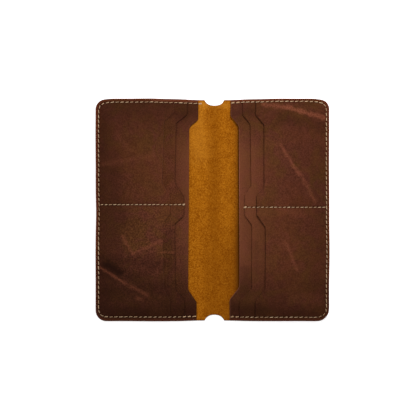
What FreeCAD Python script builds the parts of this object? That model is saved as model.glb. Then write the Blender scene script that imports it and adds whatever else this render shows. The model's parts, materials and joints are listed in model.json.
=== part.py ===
import FreeCAD, Part
import math
import os

"""A long leather bifold phone wallet, lying open with its pockets up. All sizes are millimetres.

Frame: X across the open wallet, Y along its fold, +Z up out of the pockets. The origin is the middle of
the outline on the outside face, so the wallet rests on z = 0. The back half is at +X, the front half at -X.
The front half is a little the wider one, so the fold runs to the right of the origin, at x = FOLD_X.
Every shape is first drawn with the fold at x = 0 and moved to its place at the end. Each half is the same
stack: cover, long pocket, inner card panel, outer card panel, sewn together round the three outer edges.
The cover is one hide, split here at the two sides of its spine so that rigid pieces can fold.
"""

V = FreeCAD.Vector

# Driving dimensions
HEIGHT = 195.0           # along the fold
BACK_REACH = 100.8       # from the middle of the fold to the outer edge
FRONT_REACH = 104.2
CORNER_R = 9.0           # the four outer corners
COVER_T = 1.6            # cover leather
POCKET_T = 1.0           # pocket leather
CARD_GAP = 0.85          # free height of every pocket, for a 0.76 mm card
LAYER_GAP = 0.02         # glue line between sewn layers, so that neighbours never share volume

# Fold: the spine turns up 90 degrees from the back half, and the front half 90 degrees from the spine
SPINE_W = 13.8           # between the two fold lines; the closed stacks need 12.8
FOLD_BEVEL_DEG = 46.0    # on each side of a fold line, a degree more than closing needs
NOTCH_HALF_WIDTH = 8.6   # round notch at each end of the spine
NOTCH_DEPTH = 5.6

# Seams
SEAM_INSET = 3.0         # edge to the line of holes
STITCH_PITCH = 4.3
DIVIDER_PITCH = 3.8
STITCH_GAP = 0.8         # between the ends of neighbouring stitches
THREAD_D = 0.7
GROOVE_W = 1.1           # the groove in the outside face that the outer stitches lie in
GROOVE_DEPTH = 0.75
SEAM_OVERSHOOT = 2.2     # the last stitch of a row runs this far over the edge of the ear it holds

# Pocket mouths, measured from the fold's middle. Tabs are the ears that the stitches hold.
LONG_LIP, LONG_TAB = 21.9, 14.4
INNER_LIP, INNER_END_TAB, INNER_MID_TAB = 32.6, 24.4, 25.6
OUTER_LIP, OUTER_END_TAB, OUTER_MID_TAB = 44.0, 36.6, 37.7
MOUTH_R = 3.0            # rounding of the bends in a card panel's mouth
LONG_MOUTH_R = 7.0       # rounding at the ends of the long lip

# How far each mouth's tabs and slopes reach from the top edge, the bottom edge and the divider seam
LONG_TOP_TAB, LONG_TOP_SLOPE = 16.0, 25.0
LONG_BOTTOM_TAB, LONG_BOTTOM_SLOPE = 17.0, 29.6
CARD_TOP_TAB, CARD_TOP_SLOPE = 13.5, 22.0
CARD_BOTTOM_TAB, CARD_BOTTOM_SLOPE = 18.0, 28.0
DIVIDER_TAB, DIVIDER_SLOPE = 8.5, 17.4

# Pocket insides
POCKET_EDGE = 0.5        # the leather starts to rise this far inside a seam
RISE_W = 1.5             # and is at its full height this much further in
CARD_STOP_X = 82.0       # foot of the inner card slots, which stops a 54 mm card with its end showing
CARD_STOP_SEAM_X = 84.0

# Heights worked out from the stack
LONG_Z = COVER_T + LAYER_GAP
INNER_Z = LONG_Z + POCKET_T + LAYER_GAP
OUTER_Z = INNER_Z + POCKET_T + LAYER_GAP
TOP_Y = HEIGHT / 2
FOLD_X = (FRONT_REACH - BACK_REACH) / 2
THREAD_R = THREAD_D / 2
FIELD_CORNER_R = CORNER_R - SEAM_INSET - POCKET_EDGE

# Drawing aids
CUT_MARGIN = 1.0         # cutters reach this far past what they cut
STACK_ROOM = 10.0        # height that clears every panel of the stack
MARKS_PER_STITCH = 40    # points marked along each stitch, to trim its ends by
JOIN_TOLERANCE = 1e-6    # points closer than this are the same point


def point(x, y, z=0.0):
    return V(x, y, z)


def rounded_wire(corners):
    """A closed wire through (x, y, radius) corners, with an arc of that radius at each corner."""
    arcs = []
    count = len(corners)
    for i, (x, y, radius) in enumerate(corners):
        here = point(x, y)
        to_last = (point(*corners[i - 1][:2]) - here).normalize()
        to_next = (point(*corners[(i + 1) % count][:2]) - here).normalize()
        if radius <= 0:
            arcs.append((here, None, here))
            continue
        half = to_last.getAngle(to_next) / 2
        reach = radius / math.tan(half)
        inwards = (to_last + to_next).normalize()
        centre = here + inwards * (radius / math.sin(half))
        arcs.append((here + to_last * reach, centre - inwards * radius, here + to_next * reach))
    edges = []
    for i, (start, middle, end) in enumerate(arcs):
        if middle is not None:
            edges.append(Part.Arc(start, middle, end).toShape())
        following = arcs[(i + 1) % count][0]
        if end.distanceToPoint(following) > JOIN_TOLERANCE:
            edges.append(Part.makeLine(end, following))
    return Part.Wire(edges)


def prism(wire, low, high):
    """The wire's inside, from height low to height high."""
    face = Part.Face(wire)
    face.translate(V(0, 0, low))
    return face.extrude(V(0, 0, high - low))


def box(x_low, x_high, y_low, y_high, z_low, z_high):
    return Part.makeBox(x_high - x_low, y_high - y_low, z_high - z_low, V(x_low, y_low, z_low))


def rounded_sheet(inset, low, high):
    """The open wallet's outline, inset by a margin, as a plate."""
    back, front, y, r = BACK_REACH - inset, FRONT_REACH - inset, TOP_Y - inset, CORNER_R - inset
    return prism(rounded_wire([(back, -y, r), (back, y, r), (-front, y, r), (-front, -y, r)]), low, high)


# The cover

def spine_notch(end):
    """A round notch at the top (end = 1) or bottom (end = -1) of the spine."""
    radius = (NOTCH_HALF_WIDTH ** 2 + NOTCH_DEPTH ** 2) / (2 * NOTCH_DEPTH)
    centre_y = end * (TOP_Y - NOTCH_DEPTH + radius)
    return Part.makeCylinder(radius, COVER_T + 2 * CUT_MARGIN, V(0, centre_y, -CUT_MARGIN))


def seam_groove():
    """The stitching groove in the outside face, round the three sewn edges of both halves."""
    inside, outside = SEAM_INSET - GROOVE_W / 2, SEAM_INSET + GROOVE_W / 2
    low, high = -CUT_MARGIN, GROOVE_DEPTH + CUT_MARGIN
    ring = rounded_sheet(inside, 0, GROOVE_DEPTH).cut(rounded_sheet(outside, low, high))
    clear_x = LONG_TAB - SEAM_OVERSHOOT - STITCH_GAP
    return ring.cut(box(-clear_x, clear_x, -TOP_Y, TOP_Y, low, high))


def fold_relief(x):
    """A slit below a fold line at mid thickness and a V above it, so that the fold can close."""
    pivot_z = COVER_T / 2
    tall = COVER_T - pivot_z + CUT_MARGIN
    spread = tall * math.tan(math.radians(FOLD_BEVEL_DEG))
    half = LAYER_GAP
    profile = [(-half, -CUT_MARGIN), (half, -CUT_MARGIN), (half, pivot_z), (half + spread, pivot_z + tall),
               (-half - spread, pivot_z + tall), (-half, pivot_z)]
    corners = [V(x + dx, -TOP_Y - CUT_MARGIN, z) for dx, z in profile]
    face = Part.Face(Part.makePolygon(corners + corners[:1]))
    return face.extrude(V(0, HEIGHT + 2 * CUT_MARGIN, 0))


def cover_pieces():
    """The cover sheet split at its fold lines into the front cover, the spine and the back cover."""
    sheet = rounded_sheet(0, 0, COVER_T)
    sheet = sheet.cut([spine_notch(1), spine_notch(-1), seam_groove(),
                       fold_relief(SPINE_W / 2), fold_relief(-SPINE_W / 2)])
    solids = sorted(sheet.Solids, key=lambda solid: solid.CenterOfMass.x)
    return dict(zip(["front_cover", "spine", "back_cover"], solids, strict=True))


# Pocket panels, drawn on the back half's side. A half reaches out to x = reach.

def panel_outline(mouth, reach):
    """A panel's outline from its mouth, a list of (x, y, radius) from the top edge to the bottom edge."""
    return rounded_wire(mouth + [(reach, -TOP_Y, CORNER_R), (reach, TOP_Y, CORNER_R)])


def long_mouth():
    return [(LONG_TAB, TOP_Y, 0),
            (LONG_TAB, TOP_Y - LONG_TOP_TAB, MOUTH_R),
            (LONG_LIP, TOP_Y - LONG_TOP_SLOPE, LONG_MOUTH_R),
            (LONG_LIP, -TOP_Y + LONG_BOTTOM_SLOPE, LONG_MOUTH_R),
            (LONG_TAB, -TOP_Y + LONG_BOTTOM_TAB, MOUTH_R),
            (LONG_TAB, -TOP_Y, 0)]


def card_mouth(lip, end_tab, mid_tab, divider_y):
    """The mouth of a card panel, which has an ear at each end and one at the divider seam."""
    return [(end_tab, TOP_Y, 0),
            (end_tab, TOP_Y - CARD_TOP_TAB, MOUTH_R),
            (lip, TOP_Y - CARD_TOP_SLOPE, MOUTH_R),
            (lip, divider_y + DIVIDER_SLOPE, MOUTH_R),
            (mid_tab, divider_y + DIVIDER_TAB, MOUTH_R),
            (mid_tab, divider_y - DIVIDER_TAB, MOUTH_R),
            (lip, divider_y - DIVIDER_SLOPE, MOUTH_R),
            (lip, -TOP_Y + CARD_BOTTOM_SLOPE, MOUTH_R),
            (end_tab, -TOP_Y + CARD_BOTTOM_TAB, MOUTH_R),
            (end_tab, -TOP_Y, 0)]


def field_outline(field, inset):
    """The outline of a raised field (x_out, y_low, y_high), inset by a margin.

    Its outer corners follow the seam's.
    """
    x_out, low, high = field[0] - inset, field[1] + inset, field[2] - inset
    r = FIELD_CORNER_R - inset
    return rounded_wire([(0, low, 0), (x_out, low, r), (x_out, high, r), (0, high, 0)])


def hollow(field, base, rise):
    """A pocket's inside: a low frustum that slopes in from its three sewn sides."""
    foot, top = field_outline(field, 0), field_outline(field, RISE_W)
    foot.translate(V(0, 0, base))
    top.translate(V(0, 0, base + rise))
    return Part.makeLoft([foot, top], True, True)


def pocket_panel(mouth, reach, base, hollows, fields):
    """A leather panel whose sewn margin lies at height base and whose middle rises over the hollows below it.

    Its node holds touching solids, a plate for each raised field and a bar for each sewn margin, because each
    of those is close to convex and the pocket below stays open between them.
    """
    high = base + STACK_ROOM
    top = box(0, reach, -TOP_Y, TOP_Y, base, base + POCKET_T)
    top = top.fuse([hollow(field, base + POCKET_T, rise) for field, rise in hollows])
    panel = top.common(prism(panel_outline(mouth, reach), base - CUT_MARGIN, high))
    for field, rise in hollows:
        panel = panel.cut(hollow(field, base, rise))
    plates = [prism(field_outline(field, RISE_W), 0, high) for field in fields]
    outer_bar = box(fields[0][0] - RISE_W, reach, -TOP_Y, TOP_Y, 0, high)
    margins = panel.cut(plates)
    cut_up = [panel.common(plate) for plate in plates] + [margins.common(outer_bar), margins.cut(outer_bar)]
    return Part.makeCompound([solid for shape in cut_up for solid in shape.removeSplitter().Solids])


def half_panels(reach, divider_y):
    """The three panels of a half. Their middles rise by one, two and three card gaps."""
    edge = SEAM_INSET + POCKET_EDGE
    out, top = reach - edge, TOP_Y - edge
    upper, lower = (divider_y + POCKET_EDGE, top), (-top, divider_y - POCKET_EDGE)
    long_fields = [(out, -top, top)]
    inner_fields = [(CARD_STOP_X + RISE_W, *upper), (CARD_STOP_X + RISE_W, *lower)]
    outer_fields = [(out, *upper), (out, *lower)]
    long_rise = [(long_fields[0], CARD_GAP)]
    inner_rise = long_rise + [(field, 2 * CARD_GAP) for field in inner_fields]
    outer_rise = long_rise + [(field, 3 * CARD_GAP) for field in outer_fields]
    inner = card_mouth(INNER_LIP, INNER_END_TAB, INNER_MID_TAB, divider_y)
    outer = card_mouth(OUTER_LIP, OUTER_END_TAB, OUTER_MID_TAB, divider_y)
    return {"long_pocket": pocket_panel(long_mouth(), reach, LONG_Z, long_rise, long_fields),
            "inner_card_panel": pocket_panel(inner, reach, INNER_Z, inner_rise, inner_fields),
            "outer_card_panel": pocket_panel(outer, reach, OUTER_Z, outer_rise, outer_fields)}


# Stitching

def stitch(start, end):
    """One stitch: a round-ended bar of thread between two points."""
    r = THREAD_R
    length = start.distanceToPoint(end)
    bend = r * math.sqrt(0.5)
    profile = [Part.Arc(V(0, 0, -r), V(bend, 0, -bend), V(r, 0, 0)).toShape(),
               Part.makeLine(V(r, 0, 0), V(r, 0, length)),
               Part.Arc(V(r, 0, length), V(bend, 0, length + bend), V(0, 0, length + r)).toShape(),
               Part.makeLine(V(0, 0, length + r), V(0, 0, -r))]
    bar = Part.Face(Part.Wire(profile)).revolve(V(0, 0, 0), V(0, 0, 1), 360)
    bar.Placement = FreeCAD.Placement(start, FreeCAD.Rotation(V(0, 0, 1), end - start))
    return bar


def row_of_stitches(path, pitch, height):
    """Stitches along a path of edges. height gives the thread's centre from a stitch's two ends."""
    wire = Part.Wire(path)
    count = round(wire.Length / pitch)
    step = wire.Length / count
    trim = (STITCH_GAP + THREAD_D) / 2
    marks = wire.discretize(Number=count * MARKS_PER_STITCH + 1)
    share = round(trim / step * MARKS_PER_STITCH)
    row = []
    for i in range(count):
        start, end = marks[i * MARKS_PER_STITCH + share], marks[(i + 1) * MARKS_PER_STITCH - share]
        lift = V(0, 0, height(start, end))
        row.append(stitch(start + lift, end + lift))
    return row


def margin_height(start, end):
    """Height of a stitch that lies on the topmost panel of the sewn margin."""
    far = max(start.x, end.x) + THREAD_D
    on_outer, on_inner = far > OUTER_END_TAB, far > INNER_END_TAB
    base = OUTER_Z if on_outer else INNER_Z if on_inner else LONG_Z
    return base + POCKET_T + LAYER_GAP + THREAD_R


def seam_path(reach):
    """The sewn line of a half, from the top of the fold round the outer edge to its bottom."""
    x, y, r = reach - SEAM_INSET, TOP_Y - SEAM_INSET, CORNER_R - SEAM_INSET
    start = LONG_TAB - SEAM_OVERSHOOT
    diagonal = r * (1 - math.sqrt(0.5))
    return [Part.makeLine(point(start, y), point(x - r, y)),
            Part.Arc(point(x - r, y), point(x - diagonal, y - diagonal), point(x, y - r)).toShape(),
            Part.makeLine(point(x, y - r), point(x, r - y)),
            Part.Arc(point(x, r - y), point(x - diagonal, diagonal - y), point(x - r, -y)).toShape(),
            Part.makeLine(point(x - r, -y), point(start, -y))]


def two_faces(path, pitch, upper, lower):
    """The stitches that show on both faces of a seam."""
    return (row_of_stitches(path, pitch, upper)
            + row_of_stitches(path, pitch, lambda start, end: lower))


def half_stitching(reach, divider_y):
    """The edge seam, the divider seam and the hidden seams at the foot of the inner card slots."""
    outside = LAYER_GAP + THREAD_R
    edge = two_faces(seam_path(reach), STITCH_PITCH, margin_height, outside)
    over_divider = OUTER_Z + CARD_GAP + POCKET_T + LAYER_GAP + THREAD_R
    over_inner = INNER_Z + CARD_GAP + POCKET_T + LAYER_GAP + THREAD_R
    under_long = LONG_Z + CARD_GAP - LAYER_GAP - THREAD_R
    seam_end_x = reach - SEAM_INSET - POCKET_EDGE - RISE_W
    divider_path = [Part.makeLine(point(seam_end_x, divider_y), point(OUTER_MID_TAB, divider_y))]
    tail_end = point(INNER_MID_TAB - SEAM_OVERSHOOT, divider_y)
    tail_path = [Part.makeLine(point(OUTER_MID_TAB, divider_y), tail_end)]
    divider = two_faces(divider_path, DIVIDER_PITCH, lambda start, end: over_divider, under_long)
    divider += two_faces(tail_path, DIVIDER_PITCH, lambda start, end: over_inner, under_long)
    clear = SEAM_INSET + POCKET_EDGE + RISE_W
    side_clear = RISE_W + THREAD_D
    spans = [(divider_y + side_clear, TOP_Y - clear), (clear - TOP_Y, divider_y - side_clear)]
    stops = []
    for low, high in spans:
        path = [Part.makeLine(point(CARD_STOP_SEAM_X, low), point(CARD_STOP_SEAM_X, high))]
        stops += two_faces(path, DIVIDER_PITCH, lambda start, end: over_inner, under_long)
    return {"edge_stitching": Part.makeCompound(edge),
            "divider_stitching": Part.makeCompound(divider),
            "card_stop_stitching": Part.makeCompound(stops)}


def half(side, reach, divider_y):
    """The named pieces sewn to one half of the cover. The front half is drawn as a back half and mirrored."""
    pieces = {**half_panels(reach, divider_y), **half_stitching(reach, divider_y)}
    if side == "front":
        pieces = {name: shape.mirror(V(0, 0, 0), V(1, 0, 0)) for name, shape in pieces.items()}
    return {f"{side}_{name}": shape for name, shape in pieces.items()}


# The divider seam stands a little above mid height, and was sewn 2 mm higher on the front half
BACK_DIVIDER_Y = 2.2
FRONT_DIVIDER_Y = 4.2


def main():
    os.makedirs("parts", exist_ok=True)
    pieces = {**cover_pieces(),
              **half("back", BACK_REACH, BACK_DIVIDER_Y),
              **half("front", FRONT_REACH, FRONT_DIVIDER_Y)}
    for name, shape in pieces.items():
        shape.translate(V(FOLD_X, 0, 0))
        shape.exportStep(f"parts/{name}.step")
        print(f"{name}: {len(shape.Solids)} solid(s), {shape.Volume / 1000:.2f} cm3, valid {shape.isValid()}")


main()
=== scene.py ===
import json
import math
import random

import bpy
import numpy as np
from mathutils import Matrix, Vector, geometry, kdtree


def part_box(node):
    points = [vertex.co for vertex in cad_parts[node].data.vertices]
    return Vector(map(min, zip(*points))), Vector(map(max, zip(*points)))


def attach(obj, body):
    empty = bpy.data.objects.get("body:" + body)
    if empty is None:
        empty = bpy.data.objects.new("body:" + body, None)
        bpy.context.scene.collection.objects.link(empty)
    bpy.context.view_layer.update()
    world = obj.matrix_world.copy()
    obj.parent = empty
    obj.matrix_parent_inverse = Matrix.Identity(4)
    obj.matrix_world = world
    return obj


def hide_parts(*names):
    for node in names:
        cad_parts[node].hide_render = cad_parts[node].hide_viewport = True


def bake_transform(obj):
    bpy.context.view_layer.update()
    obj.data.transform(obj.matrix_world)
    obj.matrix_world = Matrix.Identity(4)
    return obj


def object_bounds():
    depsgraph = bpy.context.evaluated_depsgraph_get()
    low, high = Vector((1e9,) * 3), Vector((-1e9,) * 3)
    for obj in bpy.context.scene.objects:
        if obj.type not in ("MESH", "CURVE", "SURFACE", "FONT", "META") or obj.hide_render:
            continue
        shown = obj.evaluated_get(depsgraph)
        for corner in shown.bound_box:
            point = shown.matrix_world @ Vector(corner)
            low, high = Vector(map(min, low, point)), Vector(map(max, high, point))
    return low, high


# A long leather bifold phone wallet, lying open with its pockets up.
# Geometry below is in millimetres in the CAD frame, and in "half coordinates": u is the distance from
# the fold out towards a half's edge and y runs along the fold. Both halves are drawn in u and y.

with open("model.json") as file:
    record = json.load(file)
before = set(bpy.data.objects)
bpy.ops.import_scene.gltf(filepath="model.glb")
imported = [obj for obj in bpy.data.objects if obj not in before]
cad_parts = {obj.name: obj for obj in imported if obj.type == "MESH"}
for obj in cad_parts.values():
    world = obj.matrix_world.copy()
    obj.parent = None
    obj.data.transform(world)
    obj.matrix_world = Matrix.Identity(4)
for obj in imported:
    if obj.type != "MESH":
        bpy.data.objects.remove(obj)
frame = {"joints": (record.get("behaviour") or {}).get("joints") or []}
cad_low, cad_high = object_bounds()
MM = 0.001


def box_mm(node):
    low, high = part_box(node)
    return low / MM, high / MM


# Sizes taken from the CAD frame
SPINE_LOW, SPINE_HIGH = box_mm("spine")
FOLD_X = (SPINE_LOW.x + SPINE_HIGH.x) / 2
TOP_Y = cad_high.y / MM
REACH = {"back": cad_high.x / MM - FOLD_X, "front": FOLD_X - cad_low.x / MM}
COVER_T = SPINE_HIGH.z - SPINE_LOW.z
JOINT_U = {"back": frame["joints"][0]["pos_m"][0] / MM - FOLD_X,
           "front": FOLD_X - frame["joints"][1]["pos_m"][0] / MM}
LONG_TAB = box_mm("back_long_pocket")[0].x - FOLD_X
INNER_END_TAB = box_mm("back_inner_card_panel")[0].x - FOLD_X
OUTER_END_TAB = box_mm("back_outer_card_panel")[0].x - FOLD_X
DIVIDER_STRAY = {"back": 0.3, "front": 0.6}    # how far the sewn divider strays from the drawn one
DIVIDER_Y = {side: sum(c.y for c in box_mm(f"{side}_divider_stitching")) / 2 + DIVIDER_STRAY[side]
             for side in REACH}
SIGN = {"back": 1, "front": -1}

# Sizes of the leather
POCKET_T = 1.0
LAYER_GAP = 0.02
CORNER_R = 9.0
NOTCH_HALF_WIDTH, NOTCH_DEPTH = 8.6, 5.6
LONG_LIP = LONG_TAB + 7.5
INNER_LIP, INNER_MID_TAB = INNER_END_TAB + 8.2, INNER_END_TAB + 1.2
OUTER_LIP, OUTER_MID_TAB = OUTER_END_TAB + 7.4, OUTER_END_TAB + 1.1
LIPS = {1: LONG_LIP, 2: INNER_LIP, 3: OUTER_LIP}
LONG_TOP_TAB, LONG_TOP_SLOPE = 16.0, 25.0
LONG_BOTTOM_TAB, LONG_BOTTOM_SLOPE = 17.0, 29.6
CARD_TOP_TAB, CARD_TOP_SLOPE = 13.5, 22.0
CARD_BOTTOM_TAB, CARD_BOTTOM_SLOPE = 18.0, 28.0
DIVIDER_TAB, DIVIDER_SLOPE = 8.5, 17.4
MOUTH_R, LONG_MOUTH_R, TAB_CORNER_R = 3.0, 7.0, 0.7
CARD_STOP_U = 84.0

# How far the corners of each hand-cut mouth stray from the mean shape, from the top edge to the bottom edge
STRAY_U = {
    "front": {1: (-0.3, -0.3, 0.1, 1.1, 1.2, 1.2),
              2: (-0.9, -0.9, 0.7, 1.9, 1.0, 1.0, 2.0, 1.3, 1.6, 1.6),
              3: (-1.1, -1.1, 0.0, 2.0, 1.4, 1.4, 1.4, 0.2, 2.2, 2.2)},
    "back": {1: (-0.1, -0.1, -0.3, 0.1, -0.9, -0.9),
             2: (0.5, 0.5, -1.1, -0.3, 0.9, 0.9, 0.3, 0.2, -2.5, -2.5),
             3: (-0.4, -0.4, -0.5, -0.4, -0.7, -0.7, 0.7, 0.5, -0.8, -0.8)}}
STRAY_Y = {
    "front": {1: (0.0, -1.6, 0.8, -2.4, -0.6, 0.0),
              2: (0.0, 0.3, 0.7, 1.7, -1.8, -1.0, 0.3, 0.0, 0.0, 0.0),
              3: (0.0, 1.5, 1.9, 1.9, -1.0, 0.2, 0.7, 0.0, 0.0, 0.0)},
    "back": {1: (0.0, 1.8, 1.8, 0.0, 1.8, 0.0),
             2: (0.0, -0.4, 0.0, 1.1, 2.3, 1.3, 2.1, 0.0, 0.0, 0.0),
             3: (0.0, -0.7, -0.5, -0.5, 2.3, 1.8, -0.1, 0.0, 0.0, 0.0)}}

# How the hand-cut outline strays: ripples along it, a bump or dip at y on each long side, a bowed top edge and
# ears that fall away towards the notches
UNEVEN = 0.07
SIDE_BUMP = {"front": (-1.0, 14.0, -0.35), "back": (-38.0, 22.0, 0.3)}    # y, width and height
TOP_BOW = 0.45
EAR_FALL = {"top": 0.8, "bottom": 0.5}
HIGH_CORNER_DIP = {"front": 0.45, "back": 0.65}
LOW_CORNER_FALL = {"front": 0.2, "back": 0.9}

# How the empty pockets lie
POCKET_RISE = 0.45       # one pocket's height, a little less than the card it is made for
RISE_REACH = 9.0         # the leather comes up from a seam over this distance
LIP_CURL = 0.12          # lift of a card pocket's mouth
LONG_LIP_CURL = {"back": 1.1, "front": 0.35}
LIP_CURL_REACH = 4.0
RIPPLE = 0.10            # height of the leather's slow waves
LIP_REST = {"front": {2: 0.2, 3: 0.85}, "back": {2: 0.8, 3: 0.35}}   # how far each card slot's mouth is closed
LIP_REST_REACH = 6.0

# Seams
SEAM_INSET = 3.0
SEAM_INSETS = {"front": (3.2, 2.7, 3.8), "back": (2.5, 2.5, 3.5)}    # as sewn: top, outer side and bottom
STITCH_PITCH = 4.3
DIVIDER_PITCH = 3.8
STITCH_GAP = 1.0
DIVIDER_OVERSHOOT = 1.6
SEAM_OVERSHOOT = {"front": (3.8, 0.0), "back": (0.2, 0.0)}   # past the ear at the top and the bottom end
DOUBLED = {"front": (1, 3), "back": (2, 2)}                  # stitches sewn twice at the two ends
THREAD_R = 0.31
TIGHT = 0.78             # the bottom seam was pulled tighter and its thread is this much thinner
STITCH_SLANT = 0.20      # each stitch leans by this much to either side of its seam
FURROW_DEPTH, FURROW_W = 0.24, 0.6
HOLE_DEPTH, HOLE_W = 0.30, 0.5

# Mesh spacing
EDGE_STEP = 1.1
FIELD_STEP = 2.2
FOLD_STEP = 0.75
SEAM_STEP = 0.55
SEAM_ROWS = (-1.3, -0.75, -0.35, 0.0, 0.35, 0.75, 1.3)
TOP_EDGE_R, LOW_EDGE_R = 0.28, 0.14
EDGE_ANGLES = (0, 30, 60, 90)
EDGE_BAND = 0.6          # the leather beside a mouth carries its edge tone, painted highlight and painted shade over this distance
EDGE_RAW_AND_LIGHT = (0, 0.7, 1, 1, 1, 1, 0.9, 0.6)   # how much of each ring round the edge shows the cut leather and the painted highlight and shade of the mouths
OUTER_TONE = 0.5         # the cut leather is pale where above 0 and dark where below 0
# Tone of each mouth's cut edge, pale above 0 and dark below 0: the dyed edge, with painted highlights on edges facing
# the light and painted shade along the lines under lips
MOUTH_TONE_AND_LIGHT = {"front": {0: 0.0, 1: -0.35, 2: -0.9, 3: 0.3}, "back": {0: 0.0, 1: 1.0, 2: -0.2, 3: -0.6}}
PAINTED_MOUTH_HIGHLIGHT = {("back", 1): 1.0}                   # painted highlight: how much paler a mouth's edge is painted at its upper middle, where it catches the light
BURNISH_W = 0.35         # the outer edge is burnished about this deep
MARGIN_HIGHLIGHT_W = 2.2           # the margin outside the seams is painted redder over this distance, as rubbed leather and as a painted highlight where its edges catch the light
WAX_AND_SHADE_W = 23.0            # inside them the leather is darker with wax and painted shade over this distance
# the front half, away from the key light, gets more painted shade
WAX_AND_SHADE = {"front": 0.64, "back": 0.33}


def smooth(value):
    """Smoothstep of values clipped to 0..1."""
    t = np.clip(value, 0, 1)
    return t * t * (3 - 2 * t)


# Outlines

def rounded_loop(corners, step):
    """Points of a closed loop through (u, y, radius) corners, every step or less."""
    corners = [(np.array(c[:2], float), c[2]) for c in corners]
    pieces = []
    for i, (here, radius) in enumerate(corners):
        last, following = corners[i - 1][0], corners[(i + 1) % len(corners)][0]
        back = (last - here) / np.linalg.norm(last - here)
        ahead = (following - here) / np.linalg.norm(following - here)
        half = math.acos(np.clip(back @ ahead, -1, 1)) / 2
        reach = radius / math.tan(half)
        inwards = (back + ahead) / np.linalg.norm(back + ahead)
        centre = here + inwards * radius / math.sin(half)
        start = here + back * reach - centre
        turn = (math.pi - 2 * half) * np.sign(np.cross(-back, ahead))
        count = max(3, math.ceil(abs(turn) * radius / min(step, 0.8)))
        arc = []
        for angle in np.linspace(0, turn, count + 1):
            cos, sin = math.cos(angle), math.sin(angle)
            arc.append(centre + (start[0] * cos - start[1] * sin, start[0] * sin + start[1] * cos))
        pieces.append(arc)
    return join_pieces(pieces, step)


def join_pieces(pieces, step):
    """Joins runs of points into one closed loop, filling the straight stretches between them."""
    loop = []
    for i, piece in enumerate(pieces):
        loop.extend(piece)
        start, end = piece[-1], pieces[(i + 1) % len(pieces)][0]
        length = np.linalg.norm(end - start)
        if length < 1e-6:
            loop.pop()
            continue
        count = max(1, math.ceil(length / step))
        loop.extend(start + (end - start) * k / count for k in range(1, count))
    return np.array(loop)


def inward_normals(loop):
    """Unit normals that point into a counter-clockwise loop."""
    along = np.roll(loop, -1, 0) - np.roll(loop, 1, 0)
    normals = np.stack([-along[:, 1], along[:, 0]], 1)
    return normals / np.linalg.norm(normals, axis=1)[:, None]


def long_mouth():
    return [(LONG_TAB, TOP_Y, TAB_CORNER_R),
            (LONG_TAB, TOP_Y - LONG_TOP_TAB, MOUTH_R),
            (LONG_LIP, TOP_Y - LONG_TOP_SLOPE, LONG_MOUTH_R),
            (LONG_LIP, -TOP_Y + LONG_BOTTOM_SLOPE, LONG_MOUTH_R),
            (LONG_TAB, -TOP_Y + LONG_BOTTOM_TAB, MOUTH_R),
            (LONG_TAB, -TOP_Y, TAB_CORNER_R)]


def card_mouth(lip, end_tab, mid_tab, divider_y):
    return [(end_tab, TOP_Y, TAB_CORNER_R),
            (end_tab, TOP_Y - CARD_TOP_TAB, MOUTH_R),
            (lip, TOP_Y - CARD_TOP_SLOPE, MOUTH_R),
            (lip, divider_y + DIVIDER_SLOPE, MOUTH_R),
            (mid_tab, divider_y + DIVIDER_TAB, MOUTH_R),
            (mid_tab, divider_y - DIVIDER_TAB, MOUTH_R),
            (lip, divider_y - DIVIDER_SLOPE, MOUTH_R),
            (lip, -TOP_Y + CARD_BOTTOM_SLOPE, MOUTH_R),
            (end_tab, -TOP_Y + CARD_BOTTOM_TAB, MOUTH_R),
            (end_tab, -TOP_Y, TAB_CORNER_R)]


def mouth_corners(side, layer):
    """The (u, y, radius) corners of a panel's mouth. Layer 1 is the long pocket, 2 and 3 the card panels."""
    divider_y = DIVIDER_Y[side]
    if layer == 1:
        corners = long_mouth()
    elif layer == 2:
        corners = card_mouth(INNER_LIP, INNER_END_TAB, INNER_MID_TAB, divider_y)
    else:
        corners = card_mouth(OUTER_LIP, OUTER_END_TAB, OUTER_MID_TAB, divider_y)
    strays = zip(corners, STRAY_U[side][layer], STRAY_Y[side][layer], strict=True)
    return [(u + across, y + along, radius) for (u, y, radius), across, along in strays]


def panel_loop(side, layer):
    reach = REACH[side]
    outer = [(reach, -TOP_Y, CORNER_R), (reach, TOP_Y, CORNER_R)]
    return rounded_loop(mouth_corners(side, layer) + outer, EDGE_STEP)


def cover_loop(reach):
    """Half of the cover, cut square across at the fold, with half of the round notch at each end."""
    radius = (NOTCH_HALF_WIDTH ** 2 + NOTCH_DEPTH ** 2) / (2 * NOTCH_DEPTH)
    centre_y = TOP_Y - NOTCH_DEPTH + radius
    widest = math.asin(NOTCH_HALF_WIDTH / radius)
    angles = np.linspace(0, widest, math.ceil(widest * radius / FOLD_STEP) + 1)
    notch = np.array([(radius * math.sin(a), centre_y - radius * math.cos(a)) for a in angles])
    bottom_notch = notch * (1, -1)
    corner_angles = np.linspace(0, math.pi / 2, math.ceil(CORNER_R * math.pi / 2 / 0.8) + 1)
    arc = np.array([(math.sin(a), -math.cos(a)) for a in corner_angles]) * CORNER_R
    low_corner = arc + (reach - CORNER_R, CORNER_R - TOP_Y)
    high_corner = (arc * (1, -1))[::-1] + (reach - CORNER_R, TOP_Y - CORNER_R)
    loop = join_pieces([list(bottom_notch), list(low_corner), list(high_corner), list(notch[::-1])], EDGE_STEP)
    return loop


# Seams

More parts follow.
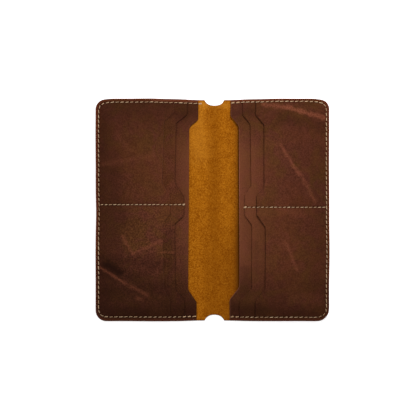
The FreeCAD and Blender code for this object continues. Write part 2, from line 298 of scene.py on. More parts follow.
def seam_line(side):
    """Points of the sewn line round a half's three outer edges, from the top of the fold to its bottom."""
    top, outer, bottom = SEAM_INSETS[side]
    corners = mouth_corners(side, 1)
    top_start = corners[0][0] - SEAM_OVERSHOOT[side][0]
    bottom_end = corners[-1][0] - SEAM_OVERSHOOT[side][1]
    turn = np.linspace(0, math.pi / 2, 24)
    arc = np.column_stack([np.sin(turn), np.cos(turn)])
    centre_u, centre_y = REACH[side] - CORNER_R, TOP_Y - CORNER_R
    high_arc = arc * (CORNER_R - outer, CORNER_R - top) + (centre_u, centre_y)
    low_arc = arc[::-1] * (CORNER_R - outer, bottom - CORNER_R) + (centre_u, -centre_y)
    ends = [(top_start, TOP_Y - top)], [(bottom_end, bottom - TOP_Y)]
    return np.concatenate([ends[0], high_arc, low_arc, ends[1]])


def resample(line, step):
    """Points every step along a line, and the exact step used."""
    lengths = np.concatenate([[0], np.cumsum(np.linalg.norm(np.diff(line, axis=0), axis=1))])
    count = max(1, round(lengths[-1] / step))
    at = np.linspace(0, lengths[-1], count + 1)
    return np.stack([np.interp(at, lengths, line[:, k]) for k in (0, 1)], 1)


class Seam:
    """A sewn line with its needle holes, which the leather dips towards."""

    def __init__(self, line, pitch):
        self.holes = resample(line, pitch)
        self.line = resample(line, 0.25)
        self.trees = [self.tree(self.line), self.tree(self.holes)]

    @staticmethod
    def tree(points):
        made = kdtree.KDTree(len(points))
        for i, (u, y) in enumerate(points):
            made.insert((u, y, 0), i)
        made.balance()
        return made

    def distances(self, points):
        """Distance of each point to the line and to the nearest hole."""
        return np.array([[tree.find((u, y, 0))[2] for tree in self.trees] for u, y in points])

    def rows(self):
        """Mesh points in rows beside the line, close enough to shape the dip."""
        line = resample(self.line, SEAM_STEP)
        along = np.gradient(line, axis=0)
        across = np.stack([-along[:, 1], along[:, 0]], 1) / np.linalg.norm(along, axis=1)[:, None]
        return np.concatenate([line + across * offset for offset in SEAM_ROWS])


def furrow(seams, points):
    """Depth of the dip that the stitches press into the leather, and how strongly painted shade darkens it."""
    depth, shade = np.zeros(len(points)), np.zeros(len(points))
    for seam in seams:
        line, hole = seam.distances(points).T
        dip = np.exp(-(line / FURROW_W) ** 2)
        pit = np.exp(-(hole / HOLE_W) ** 2)
        depth = np.maximum(depth, FURROW_DEPTH * dip + HOLE_DEPTH * pit * dip)
        shade = np.maximum(shade, 0.45 * np.exp(-(line / (FURROW_W * 1.6)) ** 2) + 0.55 * pit)
    return depth, np.clip(shade, 0, 1)


# Heights of the stack

def waves(points, sign):
    """Slow waves in the leather, the same for every layer of a half."""
    u, y = points[:, 0], points[:, 1]
    return (np.sin(u / 17 + y / 41 + sign) * np.sin(y / 23 - u / 60 + 1.3 * sign)
            + 0.5 * np.sin(u / 9.5 - y / 31 + 2 * sign) * np.sin(y / 12 + 0.7)) / 1.5


def edge_rise(points, reach):
    """0 at the outer seams and 1 in the middle of the pockets."""
    u, y = points[:, 0], np.abs(points[:, 1])
    return smooth((reach - SEAM_INSET - u) / RISE_REACH) * smooth((TOP_Y - SEAM_INSET - y) / RISE_REACH)


def slot_opening(layer, side, points):
    """How far a card slot is open, from 0 to 1. The inner slots end at the card stop seam."""
    u = points[:, 0]
    room = smooth((CARD_STOP_U - u) / RISE_REACH) if layer == 2 else 1.0
    return room * (1 - LIP_REST[side][layer] * np.exp(-np.maximum(u - LIPS[layer], 0) / LIP_REST_REACH))


def layer_low(layer, side, points):
    """Height of a panel's underside. Layer 1 is the long pocket, 2 the inner and 3 the outer card panel."""
    away = edge_rise(points, REACH[side])
    height = COVER_T + LAYER_GAP + (layer - 1) * (POCKET_T + LAYER_GAP) + POCKET_RISE * away
    height = height + RIPPLE * away * (1 + waves(points, SIGN[side]))
    if layer > 1:
        beside = smooth((np.abs(points[:, 1] - DIVIDER_Y[side])) / RISE_REACH)
        open_slots = sum(slot_opening(below, side, points) for below in range(2, layer + 1))
        height = height + POCKET_RISE * away * beside * open_slots
    return height


def lip_curl(points, side, layer, lip):
    """Lift of the leather at a mouth, which dies out towards the pocket and the ears."""
    lift = LONG_LIP_CURL[side] if layer == 1 else LIP_CURL
    away = smooth((TOP_Y - SEAM_INSET - np.abs(points[:, 1])) / (4 * RISE_REACH))
    return lift * away * np.exp(-np.maximum(points[:, 0] - lip, 0) / LIP_CURL_REACH)


# How much each layer's lip strip was lightened by handling
HANDLED = {"front": {1: 1.0, 2: 0.15, 3: 0.3}, "back": {1: 1.15, 2: 0.9, 3: 0.35}}


def lip_tint(points, lip):
    """How much the leather was lightened by handling: most at the middle of a mouth, little at its ears."""
    along = 1 - 0.75 * smooth((np.abs(points[:, 1]) - 45) / 30)
    return along * np.exp(-np.maximum(points[:, 0] - lip, 0) / 14)


# Meshes

def placed(side, flat, height):
    """Points of a half in the CAD frame. Hand cutting leaves the outline a little uneven."""
    u, y = flat[:, 0], flat[:, 1]
    at, width, bump = SIDE_BUMP[side]
    ripple = UNEVEN * (np.sin(y / 19 + 2 * SIGN[side]) + 0.6 * np.sin(y / 8.3))
    across = smooth(u / REACH[side]) * (ripple + bump * np.exp(-((y - at) / width) ** 2))
    ripple = UNEVEN * smooth(u / 30) * (np.sin(u / 16 + SIGN[side]) + 0.6 * np.sin(u / 7.1))
    ear = smooth((36 - u) / 24) * smooth(u / 8)
    corner = smooth((u - REACH[side] + 14) / 14)
    fall = LOW_CORNER_FALL[side] * corner * smooth((14 - TOP_Y - y) / 14)
    dip = HIGH_CORNER_DIP[side] * np.exp(-((u - REACH[side] + 8) / 5) ** 2)
    bow = TOP_BOW * smooth((u - 38) / 20) * (1 - corner) - dip
    top = ripple + bow - EAR_FALL["top"] * ear
    bottom = ripple - EAR_FALL["bottom"] * ear - fall
    along = np.where(y > 0, top, -bottom) * smooth((np.abs(y) - 25) / (TOP_Y - 35))
    return np.column_stack([FOLD_X + SIGN[side] * (u + across - fall), y + along, height])


def covered(points, loop):
    """Which points lie inside a loop."""
    following = np.roll(loop, -1, 0)
    crossings = np.zeros(len(points), int)
    for (u0, y0), (u1, y1) in zip(loop, following):
        if y0 == y1:
            continue
        between = (points[:, 1] >= min(y0, y1)) & (points[:, 1] < max(y0, y1))
        at = u0 + (points[:, 1] - y0) * (u1 - u0) / (y1 - y0)
        crossings += between & (points[:, 0] < at)
    return crossings % 2 == 1


def inside(points, loop, margin):
    """The points inside a loop that are at least margin from it."""
    kept = points[covered(points, loop)]
    nearest = np.array([np.min(np.sum((loop - p) ** 2, 1)) for p in kept])
    return kept[nearest > margin ** 2]


def spread(points, spacing):
    """Drops points that crowd an earlier one."""
    cells, kept = set(), []
    for u, y in points:
        cell = (round(u / spacing), round(y / spacing))
        if cell not in cells:
            cells.add(cell)
            kept.append((u, y))
    return np.array(kept)


def field_points(loop, seams, dense_until=None):
    """Mesh points inside a sheet: rows beside its seams, close columns at the fold and an open field."""
    rows = np.concatenate([seam.rows() for seam in seams])
    rows = inside(rows, loop, EDGE_BAND + 0.2)
    rows = spread(rows, 0.22)
    low, high = loop.min(0), loop.max(0)
    grid_u = np.arange(low[0], high[0], FIELD_STEP)
    if dense_until:
        grid_u = np.concatenate([np.arange(low[0], dense_until, FOLD_STEP)[1:], grid_u[grid_u > dense_until]])
    grid_y = np.arange(low[1], high[1], FIELD_STEP)
    grid = np.stack(np.meshgrid(grid_u, grid_y), -1).reshape(-1, 2)
    grid = inside(grid, loop, EDGE_BAND + 0.4)
    tree = Seam.tree(rows)
    grid = np.array([p for p in grid if tree.find((p[0], p[1], 0))[2] > 0.8])
    return np.concatenate([rows, grid])


def triangulate(loop, field):
    """Triangles that join a loop and the field points inside it, as indices into loop + field."""
    coords = [Vector((float(u), float(y))) for u, y in np.concatenate([loop, field])]
    made = geometry.delaunay_2d_cdt(coords, [], [list(range(len(loop)))], 1, 1e-6)
    origin = [source[0] for source in made[3]]
    return [[origin[v] for v in face] for face in made[2]]


def sheet(name, side, layer, loop, field, low, high, materials, extra, cut=False):
    """A closed leather sheet with softly rounded edges.

    Layer 0 is the cover. low and high give the heights of its two faces at points. materials are those of
    its upper face, its edge and its underside. extra holds functions of points for values stored on the
    mesh. cut leaves the edge on the fold line u = 0 square.
    """
    normals = inward_normals(loop)
    on_cut = (loop[:, 0] < 1e-6) if cut else np.zeros(len(loop), bool)
    if cut:
        ends = on_cut & (np.abs(loop[:, 1]) > np.abs(loop[on_cut, 1]).max() - 1e-6)
        normals[on_cut] = 0
        normals[ends] = np.stack([np.zeros(ends.sum()), -np.sign(loop[ends, 1])], 1)
    rings = []
    for angle in np.radians(EDGE_ANGLES):
        at = loop + normals * LOW_EDGE_R * (1 - math.sin(angle))
        rings.append((at, low(at) + LOW_EDGE_R * (1 - math.cos(angle))))
    for angle in np.radians(EDGE_ANGLES):
        at = loop + normals * TOP_EDGE_R * (1 - math.cos(angle))
        rings.append((at, high(at) - TOP_EDGE_R * (1 - math.sin(angle))))
    if not cut:
        at = loop + normals * EDGE_BAND
        rings.append((at, high(at)))
    n, m, count = len(loop), len(field), len(rings)
    flat = np.concatenate([at for at, _ in rings] + [field, field])
    height = np.concatenate([z for _, z in rings] + [high(field), low(field)])
    top_field, low_field, top_ring = n * count, n * count + m, n * (count - 1)
    triangles = triangulate(rings[-1][0], field)
    top_faces = [[v + top_ring if v < n else v - n + top_field for v in t] for t in triangles]
    low_faces = [[v if v < n else v - n + low_field for v in reversed(t)] for t in triangles]
    edge_faces = [[j * n + i, j * n + (i + 1) % n, (j + 1) * n + (i + 1) % n, (j + 1) * n + i]
                  for j in range(count - 1) for i in range(n)]
    faces = top_faces + edge_faces + low_faces
    slots = [0] * len(top_faces) + [1] * len(edge_faces) + [2] * len(low_faces)
    places = placed(side, flat, height)
    if SIGN[side] < 0:
        faces = [face[::-1] for face in faces]
    mouth_tone_and_light = MOUTH_TONE_AND_LIGHT[side][layer] + PAINTED_MOUTH_HIGHLIGHT.get((side, layer), 0.0) * np.exp(-((loop[:, 1] - 27) / 25) ** 2)
    tone = OUTER_TONE + (mouth_tone_and_light - OUTER_TONE) * smooth(edge_depth(loop, REACH[side]) / SEAM_INSET)
    cut_edge_and_painted_light = np.zeros(n * count + 2 * m)
    cut_edge_and_painted_light[:n * len(EDGE_RAW_AND_LIGHT)] = np.outer(EDGE_RAW_AND_LIGHT, tone).ravel()
    depth = edge_depth(flat, REACH[side])
    values = {"cut_edge_and_painted_light": cut_edge_and_painted_light,
              "rim": np.exp(-depth / BURNISH_W),
              "margin": np.exp(-(depth / MARGIN_HIGHLIGHT_W) ** 2),
              "wax_and_painted_shade": WAX_AND_SHADE[side] * np.exp(-(depth / WAX_AND_SHADE_W) ** 2) * smooth(depth / SEAM_INSET)}
    values.update({key: make(flat) for key, make in extra.items()})
    made = make_mesh(name, places, faces, materials, slots, values)
    if cut:
        sharpen_cut(made, loop, on_cut, n, count)
    return made


def edge_depth(points, reach):
    """How far points lie inside the wallet's outer edge."""
    corner = np.abs(points) - (reach - CORNER_R, TOP_Y - CORNER_R)
    outside = np.linalg.norm(np.maximum(corner, 0), axis=1)
    return np.maximum(CORNER_R - outside - np.minimum(corner.max(1), 0), 0)


def sharpen_cut(piece, loop, on_cut, n, count):
    """Keeps the square end at the fold line from bending the shading of the faces beside it."""
    ends = [i for i in range(n) if on_cut[i] and not (on_cut[(i + 1) % n] and on_cut[i - 1])]
    sharp = set()
    for i in range(n):
        if on_cut[i] and on_cut[(i + 1) % n]:
            for ring in (0, count - 1):
                sharp.add(frozenset((ring * n + i, ring * n + (i + 1) % n)))
    for i in ends:
        sharp.update(frozenset((j * n + i, (j + 1) * n + i)) for j in range(count - 1))
    for edge in piece.data.edges:
        if frozenset(edge.vertices) in sharp:
            edge.use_edge_sharp = True


def make_mesh(name, places, faces, materials, slots, values):
    """A smooth-shaded mesh object from points in millimetres, with its resting place and values stored."""
    mesh = bpy.data.meshes.new(name)
    mesh.from_pydata((places * MM).tolist(), [], faces)
    for material in materials:
        mesh.materials.append(material)
    mesh.polygons.foreach_set("material_index", slots)
    mesh.polygons.foreach_set("use_smooth", [True] * len(faces))
    rest = mesh.attributes.new("rest", "FLOAT_VECTOR", "POINT")
    rest.data.foreach_set("vector", places.astype(np.float32).ravel())
    for key, value in values.items():
        mesh.attributes.new(key, "FLOAT", "POINT").data.foreach_set("value", value.astype(np.float32))
    mesh.update()
    piece = bpy.data.objects.new(name, mesh)
    bpy.context.scene.collection.objects.link(piece)
    return piece


# Thread

THREAD_SIDES = 12
THREAD_STEPS = 18
THREAD_TURNS = 1.6       # turns of the two plies in one stitch
SINK = 0.55              # how far a stitch's ends go down into its holes


def taut(heights):
    """Heights of a thread pulled tight over a profile, which is the profile's upper hull."""
    hull = [0]
    for k in range(1, len(heights)):
        while len(hull) > 1:
            first, last = hull[-2:]
            direct = heights[first] + (heights[k] - heights[first]) * (last - first) / (k - first)
            if heights[last] > direct:
                break
            hull.pop()
        hull.append(k)
    return np.interp(range(len(heights)), hull, heights[hull])


def stitch_shape(start, end, radius, heights, slant, facing):
    """Points of one stitch, a two-ply thread that comes out of one hole and goes down the next."""
    along = (end - start) / np.linalg.norm(end - start)
    across = np.array([-along[1], along[0]])
    points = []
    for k in range(THREAD_STEPS + 1):
        t = k / THREAD_STEPS
        lift = min(1.0, math.sin(math.pi * min(max(t, 0.02), 0.98)) * 2.6)
        centre = start + (end - start) * t + across * slant * (2 * t - 1)
        z = heights[k] + facing * (radius * 0.45 - SINK * (1 - lift))
        taper = 0.72 + 0.28 * lift
        for j in range(THREAD_SIDES):
            angle = 2 * math.pi * j / THREAD_SIDES
            lobe = 0.82 + 0.18 * abs(math.cos(angle - math.pi * 2 * THREAD_TURNS * t))
            r = radius * lobe * taper
            points.append((*(centre + across * r * math.cos(angle)), z + r * math.sin(angle)))
    return points


def stitch_faces(base):
    """Faces of one stitch whose points start at base."""
    faces = [list(range(base, base + THREAD_SIDES))[::-1]]
    for k in range(THREAD_STEPS):
        for j in range(THREAD_SIDES):
            a, b = k * THREAD_SIDES + j, k * THREAD_SIDES + (j + 1) % THREAD_SIDES
            faces.append([base + a, base + b, base + b + THREAD_SIDES, base + a + THREAD_SIDES])
    last = base + THREAD_STEPS * THREAD_SIDES
    faces.append(list(range(last, last + THREAD_SIDES)))
    return faces


def thread(name, side, rows, material):
    """One thread as a mesh. rows are (holes, height at points, facing, doubled stitches at start and end)."""
    points, faces = [], []
    luck = random.Random(name)
    share = np.linspace(0, 1, THREAD_STEPS + 1)[:, None]
    for holes, height, facing, doubled in rows:
        count = len(holes) - 1
        for i in range(count):
            start, end = holes[i], holes[i + 1]
            unit = (end - start) / np.linalg.norm(end - start)
            gap = STITCH_GAP / 2 + luck.uniform(-0.1, 0.25)
            start, end = start + unit * gap, end - unit * gap
            across = np.array([-unit[1], unit[0]])
            heights = taut(height(start + (end - start) * share))
            twin = i < doubled[0] or i >= count - doubled[1]
            radius = THREAD_R * (TIGHT if max(start[1], end[1]) < CORNER_R - TOP_Y else 1)
            for offset in ((-radius, radius) if twin else (0.0,)):
                shift = across * (offset + luck.uniform(-0.06, 0.06))
                slant = STITCH_SLANT * facing * SIGN[side] + luck.uniform(-0.06, 0.06)
                base = len(points)
                points += stitch_shape(start + shift, end + shift, radius, heights, slant, facing)
                faces += stitch_faces(base)
    points = np.array(points)
    places = placed(side, points[:, :2], points[:, 2])
    if SIGN[side] > 0:
        faces = [face[::-1] for face in faces]
    return make_mesh(name, places, faces, [material], [0] * len(faces), {})


# Materials

def srgb(code):
    """Linear colour of a hex code."""
    parts = [int(code[i:i + 2], 16) / 255 for i in (0, 2, 4)]
    return [p / 12.92 if p <= 0.04045 else ((p + 0.055) / 1.055) ** 2.4 for p in parts] + [1.0]


def add_node(tree, kind, inputs=None, **settings):
    """A shader node with its settings, and its inputs as values or as sockets to link."""
    made = tree.nodes.new(kind)
    for key, value in settings.items():
        setattr(made, key, value)
    for key, value in (inputs or {}).items():
        if isinstance(value, bpy.types.NodeSocket):
            tree.links.new(value, made.inputs[key])
        else:
            made.inputs[key].default_value = value
    return made


def new_material(name):
    made = bpy.data.materials.new(name)
    made.use_nodes = True
    made.node_tree.nodes.clear()
    return made


def stored(tree, key):
    """A value or vector stored on the mesh."""
    made = add_node(tree, "ShaderNodeAttribute", attribute_name=key)
    return made.outputs["Vector" if key == "rest" else "Fac"]


def noise(tree, place, size, detail=3.0, roughness=0.55, distortion=0.0, stretch=None):
    """Noise whose features are about size millimetres across."""
    if stretch:
        place = add_node(tree, "ShaderNodeMapping", {"Vector": place, "Scale": stretch}).outputs[0]
    made = add_node(tree, "ShaderNodeTexNoise",
                    {"Vector": place, "Scale": 1 / size, "Detail": detail, "Roughness": roughness,
                     "Distortion": distortion})
    return made.outputs["Fac"]


def remap(tree, value, low, high, to_low=0.0, to_high=1.0):
    made = add_node(tree, "ShaderNodeMapRange",
                    {"Value": value, "From Min": low, "From Max": high, "To Min": to_low, "To Max": to_high},
                    interpolation_type="SMOOTHSTEP")
    return made.outputs[0]


def maths(tree, operation, first, second=0.0):
    return add_node(tree, "ShaderNodeMath", {0: first, 1: second}, operation=operation).outputs[0]


def mix(tree, share, first, second, blend="MIX"):
    """Mixes two colours."""
    made = add_node(tree, "ShaderNodeMix", {0: share, 6: first, 7: second}, data_type="RGBA", blend_type=blend)
    return made.outputs[2]


def finish_material(tree, colour, roughness, bump, depth, **extra):
    """Joins colour, roughness and a bump of depth millimetres into the surface."""
    bumped = add_node(tree, "ShaderNodeBump", {"Height": bump, "Distance": depth * MM, "Strength": 1.0})
    inputs = {"Base Color": colour, "Roughness": roughness, "Normal": bumped.outputs[0], **extra}
    surface = add_node(tree, "ShaderNodeBsdfPrincipled", inputs)
    add_node(tree, "ShaderNodeOutputMaterial", {"Surface": surface.outputs[0]})


# Pull-up marks and dark patches: start and end in millimetres, half width, strength
PULL_UP_MARKS = [
    ((-99, -50), (-77, -64), 1.5, 0.55),
    ((-78, -63), (-57, -75), 2.0, 0.36),
    ((-66, -77), (-62, -78), 2.4, 0.3),
    ((-70, -38), (-45, -27), 1.6, 0.65),
    ((-79, -23), (-70, -38), 1.8, 0.45),
    ((-95, 40), (-52, 48), 3.0, 0.2),
    ((-84, 66), (-72, 52), 3.5, 0.16),
    ((44, 93), (68, 90), 2.4, 0.6),
    ((62, 91), (98, 81), 2.6, 0.8),
    ((48, 60), (60, 56), 5.0, 0.15),
    ((60, 57), (76, 31), 1.8, 0.65),
    ((77, 33), (90, 7), 2.2, 0.4),
    ((63, -27), (69, -39), 1.8, 0.45),
    ((69, -39), (74, -52), 1.6, 0.4),
    ((70, -78), (92, -78), 7.0, 0.16),
    ((56, 6), (72, -4), 5.0, 0.18),
    ((-45, -37), (-35, -37), 1.2, 0.4),
    ((-52, 96.5), (-13, 95.5), 1.3, 0.6),
    ((18, 96), (62, 97), 1.2, 0.45),
]
DARK_PATCHES = [
    ((-92, -48), (-81, -55), 6.0, 1.0),
    ((-98, -86), (-60, -90), 9.0, 0.36),
    ((-44, -84), (-20, -88), 8.0, 0.24),
    ((20, -86), (42, -88), 7.0, 0.38),
    ((-27, -34), (-27, -74), 6.0, 0.22),
    ((-30, 82), (-18, 86), 5.0, 0.25),
    ((16, 84), (36, 88), 6.0, 0.3),
    ((-84, 10), (-78, -8), 7.0, 0.25),
    ((-94, -52), (-62, -62), 14.0, 0.52),
    ((-90, -72), (-42, -66), 14.0, 0.48),
    ((38, -30), (38, -56), 5.0, 0.2),
    ((-96, -44), (-36, -48), 9.0, 0.42),
    ((-38, -22), (-38, -78), 7.0, 0.35),
    ((29, -54), (29, -72), 7.0, 0.25),
    ((-85, 36), (-85, -30), 8.0, 0.24),
    ((62, 80), (96, 74), 8.0, 0.28),
]


def mark(tree, place, start, end, half_width, strength):
    """A soft streak between two points, ragged along its sides and patchy."""
    start, end = Vector((*start, 0)), Vector((*end, 0))
    along = (end - start).normalized()
    flat = add_node(tree, "ShaderNodeVectorMath", {0: place, 1: (1, 1, 0)}, operation="MULTIPLY").outputs[0]
    offset = add_node(tree, "ShaderNodeVectorMath", {0: flat, 1: start}, operation="SUBTRACT").outputs[0]
    run = add_node(tree, "ShaderNodeVectorMath", {0: offset, 1: along}, operation="DOT_PRODUCT")
    run = add_node(tree, "ShaderNodeClamp", {"Value": run.outputs["Value"], "Min": 0.0,
                                             "Max": (end - start).length}).outputs[0]
    foot = add_node(tree, "ShaderNodeVectorMath", {0: along, "Scale": run}, operation="SCALE").outputs[0]
    gap = add_node(tree, "ShaderNodeVectorMath", {0: offset, 1: foot}, operation="DISTANCE")
    ragged = noise(tree, place, 5.0, detail=5, roughness=0.65)
    reach = remap(tree, ragged, 0.3, 0.7, 0.5 * half_width, 1.5 * half_width)
    share = maths(tree, "DIVIDE", gap.outputs["Value"], reach)
    return remap(tree, share, 0.0, 1.4, strength, 0.0)


def pull_up_leather(name):
    """Waxed pull-up leather: mottled brown, lighter where it was bent or rubbed, dark and sealed at its edges, with
    painted shade towards the lower left and in the stitch furrows, and painted highlights and shade at the mouths and
    margins.
    """
    made = new_material(name)
    tree = made.node_tree
    place = stored(tree, "rest")
    broad = remap(tree, noise(tree, place, 42, detail=3, roughness=0.6, distortion=0.4), 0.35, 0.68)
    cloud = remap(tree, noise(tree, place, 8, detail=6, roughness=0.68, distortion=0.6), 0.36, 0.66)
    speck = remap(tree, noise(tree, place, 1.1, detail=4, roughness=0.75), 0.35, 0.65)
    hue = remap(tree, noise(tree, place, 15, detail=3, roughness=0.5, distortion=0.8), 0.36, 0.64)
    colour = mix(tree, hue, srgb("421e16"), srgb("43290e"))
    colour = mix(tree, broad, colour, srgb("4d2514"))
    colour = mix(tree, maths(tree, "MULTIPLY", cloud, 0.62), colour, srgb("34180c"))
    colour = mix(tree, maths(tree, "MULTIPLY", stored(tree, "tint"), 0.85), colour, srgb("6b3b28"))
    split = add_node(tree, "ShaderNodeSeparateXYZ", {0: place})
    height = maths(tree, "ADD", split.outputs["Y"], maths(tree, "MULTIPLY", noise(tree, place, 30), 60.0))
    # darker and more scuffed towards the lower left: worn leather, and painted shade as the light falls off away from
    # the upper right key
    lower_left_wear_and_shade = maths(tree, "MULTIPLY", remap(tree, height, 100, -20), remap(tree, split.outputs["X"], 0, -30))
    colour = mix(tree, maths(tree, "MULTIPLY", lower_left_wear_and_shade, 0.4), colour, srgb("25100a"))
    scuffs = maths(tree, "MULTIPLY", speck, remap(tree, lower_left_wear_and_shade, 0, 1, 0.38, 0.66))
    colour = mix(tree, scuffs, colour, mix(tree, hue, srgb("7b4432"), srgb("754728")))
    # darker inside the outer edges: wax, and painted shade that is stronger on the front half
    colour = mix(tree, maths(tree, "MULTIPLY", stored(tree, "wax_and_painted_shade"), 1.0), colour, srgb("2a120a"))
    marks = 0.0
    for start, end, half_width, strength in PULL_UP_MARKS:
        marks = maths(tree, "MAXIMUM", marks, mark(tree, place, start, end, half_width, strength))
    # darker towards the bottom: partly painted shade of the light falling off from the top, partly worn patina
    colour = mix(tree, remap(tree, height, 0, -70, 0.0, 0.5), colour, srgb("261009"))
    dark_patch_mask = 0.0
    for start, end, half_width, strength in DARK_PATCHES:
        dark_patch_mask = maths(tree, "MAXIMUM", dark_patch_mask, mark(tree, place, start, end, half_width, strength))
    # darker patches, most of them towards the lower left
    colour = mix(tree, dark_patch_mask, colour, srgb("200d08"))
    colour = mix(tree, maths(tree, "MULTIPLY", marks, remap(tree, speck, 0, 1, 0.45, 1.0)), colour, srgb("7e4531"))
    # painted shade in the stitch furrows and needle holes
    colour = mix(tree, maths(tree, "MULTIPLY", stored(tree, "seam"), 0.75), colour, srgb("1f0d07"))
    # the margin's painted highlight is stronger towards the top, where the light comes from
    margin = maths(tree, "MULTIPLY", stored(tree, "margin"), remap(tree, height, -50, 30, 0.12, 0.42))
    colour = mix(tree, margin, colour, srgb("6a2d16"))
    # cut edges: pale cut leather and painted highlights above 0, dark edges and painted shade below 0
    cut_edge_and_painted_light = stored(tree, "cut_edge_and_painted_light")
    colour = mix(tree, remap(tree, cut_edge_and_painted_light, 0, 2.2), colour, srgb("a26656"))
    colour = mix(tree, remap(tree, cut_edge_and_painted_light, 0, -1, 0.0, 0.8), colour, srgb("1f0d07"))
    colour = mix(tree, maths(tree, "MULTIPLY", stored(tree, "rim"), 0.6), colour, srgb("4a1c10"))
    warped = add_node(tree, "ShaderNodeTexNoise", {"Vector": place, "Scale": 0.35, "Detail": 2.0})
    bent = add_node(tree, "ShaderNodeVectorMath", {0: place, 1: warped.outputs["Color"]}, operation="ADD")
    pores = add_node(tree, "ShaderNodeTexVoronoi", {"Vector": bent.outputs[0], "Scale": 1.25},
                     feature="DISTANCE_TO_EDGE").outputs["Distance"]
    pores = remap(tree, pores, 0.0, 0.3)
    creases = noise(tree, place, 4.0, detail=7, roughness=0.72, distortion=1.5, stretch=(1.0, 0.6, 1.0))
    bump = maths(tree, "ADD", maths(tree, "MULTIPLY", pores, 0.22), creases)
    bump = maths(tree, "ADD", bump, maths(tree, "MULTIPLY", speck, 0.12))
    roughness = remap(tree, cloud, 0.0, 1.0, 0.48, 0.6)
    finish_material(tree, colour, roughness, bump, 0.42, **{"Specular IOR Level": 0.18,
                                                           "Specular Tint": srgb("c08a6a")})
    return made


def suede(name):
    """The dyed flesh side: napped, matt, with painted shade along the fold, a painted highlight at the top left and a
    painted shadow beside the back pocket's lip.
    """
    made = new_material(name)
    tree = made.node_tree
    place = stored(tree, "rest")
    nap = noise(tree, place, 1.0, detail=6, roughness=0.85, distortion=0.5)
    cloud = remap(tree, noise(tree, place, 10, detail=4, roughness=0.6), 0.3, 0.7)
    colour = mix(tree, cloud, srgb("934e03"), srgb("a86009"))
    colour = mix(tree, remap(tree, nap, 0.46, 0.63, 0.0, 0.9), colour, srgb("c07a1d"))
    colour = mix(tree, remap(tree, nap, 0.53, 0.36, 0.0, 0.8), colour, srgb("6e3702"))
    # painted highlight at the top left and along the top of the suede
    painted_highlight = mark(tree, place, (-14, 82), (-12, 50), 12, 0.28)
    painted_highlight = maths(tree, "MAXIMUM", painted_highlight, mark(tree, place, (-10, 92), (12, 92), 4, 0.35))
    colour = mix(tree, painted_highlight, colour, srgb("c98428"))
    # painted shade along the fold and over the lower half of the suede
    colour = mix(tree, maths(tree, "MULTIPLY", stored(tree, "fold"), 0.42), colour, srgb("743a02"))
    # painted shadow of the back pocket's gaping lip on the suede
    colour = mix(tree, maths(tree, "MULTIPLY", stored(tree, "lip_shadow_share"), 0.85), colour, srgb("5c3008"))
    colour = mix(tree, maths(tree, "MULTIPLY", stored(tree, "rim"), 0.7), colour, srgb("5a2f0a"))
    fibres = noise(tree, place, 0.5, detail=4, roughness=0.8, stretch=(0.5, 1.0, 1.0))
    bump = maths(tree, "ADD", fibres, nap)
    finish_material(tree, colour, 0.95, bump, 0.3, **{"Specular IOR Level": 0.02, "Sheen Weight": 0.05,
                                                      "Sheen Roughness": 0.6, "Sheen Tint": srgb("c98a3c")})
    return made


def waxed_thread(name):
    """Cream waxed thread with a fine fibre along it."""
    made = new_material(name)
    tree = made.node_tree
    place = stored(tree, "rest")
    patches = remap(tree, noise(tree, place, 6, detail=2), 0.3, 0.7)
    colour = mix(tree, patches, srgb("b08a66"), srgb("d8b892"))
    fibres = noise(tree, place, 0.25, detail=3, roughness=0.7)
    colour = mix(tree, remap(tree, fibres, 0.55, 0.3, 0.0, 0.4), colour, srgb("7d6a50"))
    finish_material(tree, colour, 0.6, fibres, 0.05, **{"Specular IOR Level": 0.3})
    return made


# The wallet

LEATHER = pull_up_leather("pull_up_leather")
SUEDE = suede("suede_flesh_side")
THREAD = waxed_thread("waxed_thread")


PAINTED_LIP_SHADOW = {"front": 0.0, "back": 1.0}    # the back half's pocket gapes, and the painted shadow of its lip darkens the suede


def painted_lip_shadow(points):
    """How much the painted shadow of the long pocket's lip darkens the suede beside it, more towards the bottom."""
    u, y = points[:, 0], points[:, 1]
    beside = np.exp(-(np.maximum(LONG_LIP - u, 0) / 3.7) ** 2) + 0.2 * smooth(u / LONG_LIP)
    return beside * (0.72 + 0.28 * smooth((10 - y) / 40))


def suede_painted_shade(side, points):
    """Painted shade on the suede, along the fold and over much of its lower half, standing in for the shade of the
    bend and of the light falling off towards the bottom.
    """
    u, y = points[:, 0], points[:, 1]
    lower = smooth(-y / 50) * smooth((13 + SIGN[side] * u) / 8)
    return np.maximum(smooth(1 - u / 9), 0.85 * lower)


def cover(side, seam):
    """One half of the cover, from the fold to the outer edge, with close mesh columns over the joint beside the spine.
    """
    reach = REACH[side]
    bend_end = 2 * JOINT_U[side]

    def low(points):
        return furrow([seam], points)[0] * 1.4

    def high(points):
        return np.full(len(points), COVER_T)

    loop = cover_loop(reach)
    field = field_points(loop, [seam], dense_until=bend_end + FOLD_STEP)
    extra = {"seam": lambda points: furrow([seam], points)[1],
             "tint": lambda points: 0.5 * smooth(1 - points[:, 0] / bend_end),
             "fold": lambda points: suede_painted_shade(side, points),
             "lip_shadow_share": lambda points: PAINTED_LIP_SHADOW[side] * painted_lip_shadow(points)}
    piece = sheet(f"{side}_cover_leather", side, 0, loop, field, low, high, [SUEDE, LEATHER, LEATHER], extra, cut=True)
    start, end = [Vector((FOLD_X + SIGN[side] * u, 0, COVER_T / 2)) * MM for u in (bend_end, 0.0)]
    if side == "back":
        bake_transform(piece)
        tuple(start)
        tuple(end)
        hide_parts("back_cover", "spine")
    else:
        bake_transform(piece)
        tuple(end)
        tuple(start)
        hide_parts("front_cover")


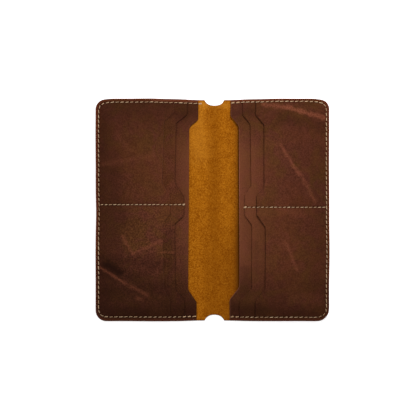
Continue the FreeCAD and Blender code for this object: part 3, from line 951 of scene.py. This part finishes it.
def panel(side, layer, node, loop, seams):
    """One pocket panel, which rises from its seams and curls up a little at its mouth."""
    lip = LIPS[layer]

    def low(points):
        return layer_low(layer, side, points) + lip_curl(points, side, layer, lip)

    def high(points):
        return low(points) + POCKET_T - furrow(seams, points)[0]

    field = field_points(loop, seams)
    extra = {"seam": lambda points: furrow(seams, points)[1],
             "tint": lambda points: HANDLED[side][layer] * lip_tint(points, lip)}
    piece = sheet(f"{side}_{node}_leather", side, layer, loop, field, low, high, [LEATHER, LEATHER, SUEDE], extra)
    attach(piece, f"{side}_half")
    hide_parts(f"{side}_{node}")


def top_height(side, loops):
    """Gives the height of the uppermost leather at points, from the outlines of the layers there."""
    def height(points):
        found = np.full(len(points), COVER_T)
        for layer, loop in loops.items():
            there = covered(points, loop)
            found = np.where(there, layer_low(layer, side, points) + POCKET_T, found)
        return found
    return height


def half(side):
    """Everything sewn to one half of the wallet."""
    reach, divider_y = REACH[side], DIVIDER_Y[side]
    edge_seam = Seam(seam_line(side), STITCH_PITCH)
    divider_end = reach - SEAM_INSETS[side][1] - STITCH_GAP / 2
    divider_start = mouth_corners(side, 2)[4][0] - DIVIDER_OVERSHOOT
    divider = Seam(np.array([(divider_end, divider_y), (divider_start, divider_y)]), DIVIDER_PITCH)
    loops = {layer: panel_loop(side, layer) for layer in (1, 2, 3)}
    cover(side, edge_seam)
    panel(side, 1, "long_pocket", loops[1], [edge_seam])
    panel(side, 2, "inner_card_panel", loops[2], [edge_seam, divider])
    panel(side, 3, "outer_card_panel", loops[3], [edge_seam, divider])

    def under_long(points):
        return layer_low(1, side, points)

    def outside(points):
        return np.full(len(points), 0.55)

    top = top_height(side, loops)
    on_inner = top_height(side, {layer: loops[layer] for layer in (1, 2)})
    rows = {"edge_stitching": [(edge_seam.holes, top, 1, DOUBLED[side]), (edge_seam.holes, outside, -1, (1, 1))],
            "divider_stitching": [(divider.holes, top, 1, (0, 1)), (divider.holes, under_long, -1, (0, 0))],
            "card_stop_stitching": []}
    clear = SEAM_INSET + 1.8
    for low_y, high_y in ((divider_y + 2.2, TOP_Y - clear), (clear - TOP_Y, divider_y - 2.2)):
        line = resample(np.array([(CARD_STOP_U, low_y), (CARD_STOP_U, high_y)]), DIVIDER_PITCH)
        rows["card_stop_stitching"] += [(line, on_inner, 1, (0, 0)), (line, under_long, -1, (0, 0))]
    for node, made in rows.items():
        piece = thread(f"{side}_{node}_thread", side, made, THREAD)
        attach(piece, f"{side}_half")
        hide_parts(f"{side}_{node}")


half("back")
half("front")


# Studio

VIEW_W = 365.5           # width of the picture at the wallet, in millimetres
CAMERA_HEIGHT = 2500.0
CAMERA_OFFSET = (-3.9, 1.87)


def area_light(name, place, size, power, colour=(1, 1, 1)):
    """A square light at a place in millimetres, aimed at the wallet."""
    data = bpy.data.lights.new(name, "AREA")
    data.shape = "SQUARE"
    data.size = size * MM
    data.energy = power
    data.color = colour
    lamp = bpy.data.objects.new(name, data)
    lamp.location = Vector(place) * MM
    lamp.rotation_mode = "QUATERNION"
    lamp.rotation_quaternion = (-lamp.location).to_track_quat("-Z", "Y")
    bpy.context.scene.collection.objects.link(lamp)


def studio():
    """A pale floor, soft light from above and a key light from the upper right, and the camera straight above."""
    scene = bpy.context.scene
    scene.view_settings.view_transform = "Standard"
    world = bpy.data.worlds.new("studio")
    scene.world = world
    world.use_nodes = True
    background = world.node_tree.nodes["Background"]
    background.inputs["Color"].default_value = (1, 1, 1, 1)
    background.inputs["Strength"].default_value = 0.38

    bpy.ops.mesh.primitive_plane_add(size=12, location=(0, 0, -0.0002))
    floor = bpy.context.object
    floor.name = "floor"
    paper = new_material("pale_paper")
    grain = noise(paper.node_tree, add_node(paper.node_tree, "ShaderNodeNewGeometry").outputs["Position"], 0.002)
    tone = mix(paper.node_tree, grain, (0.95, 0.95, 0.95, 1), (0.97, 0.97, 0.97, 1))
    finish_material(paper.node_tree, tone, 0.9, grain, 0.02, **{"Emission Color": (1, 1, 1, 1),
                                                               "Emission Strength": 0.7})
    floor.data.materials.append(paper)

    area_light("key", (210, 450, 420), 170, 3.3)
    area_light("fill", (-500, 100, 900), 700, 1.6)

    lens = bpy.data.cameras.new("camera")
    lens.sensor_width = 36
    lens.lens = 36 * CAMERA_HEIGHT / VIEW_W
    lens.clip_end = 20
    camera = bpy.data.objects.new("camera", lens)
    camera.location = Vector((*CAMERA_OFFSET, CAMERA_HEIGHT)) * MM
    scene.collection.objects.link(camera)
    scene.camera = camera


studio()
